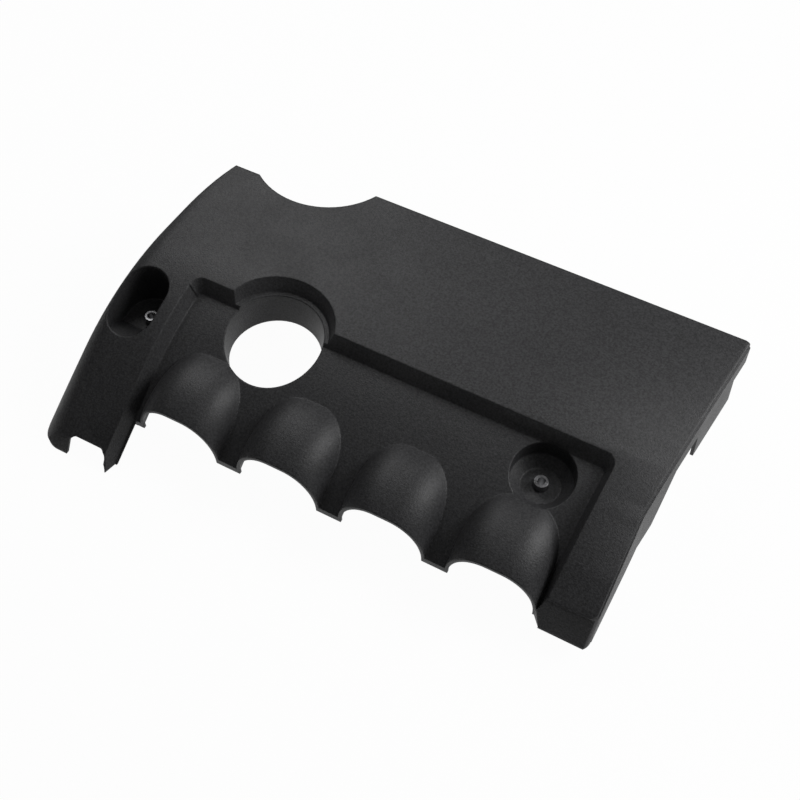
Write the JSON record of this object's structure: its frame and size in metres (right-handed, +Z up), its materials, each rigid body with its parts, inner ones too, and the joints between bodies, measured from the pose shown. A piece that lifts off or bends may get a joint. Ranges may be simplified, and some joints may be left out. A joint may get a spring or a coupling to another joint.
{
  "type": "engine cover",
  "caption": "Moulded plastic engine top cover with arched runner tunnels, a stepped recess, an oil filler opening, fixing wells with steel sleeves, and a rear notch.",
  "frame": {"origin": "middle of the bounding box in plan, at the height of the lowest foot", "axes": "+X along the engine towards the plain end, +Y towards the straight rear edge, +Z up out of the flat top"},
  "size_m": [0.4707, 0.2922, 0.08],
  "materials": {
    "cover_plastic": "fine moulded grain",
    "sleeve_steel": "zinc plated"
  },
  "bodies": {
    "root": {"cover": "cover_plastic", "sleeve_left": "sleeve_steel", "sleeve_right": "sleeve_steel"}
  },
  "joints": []
}
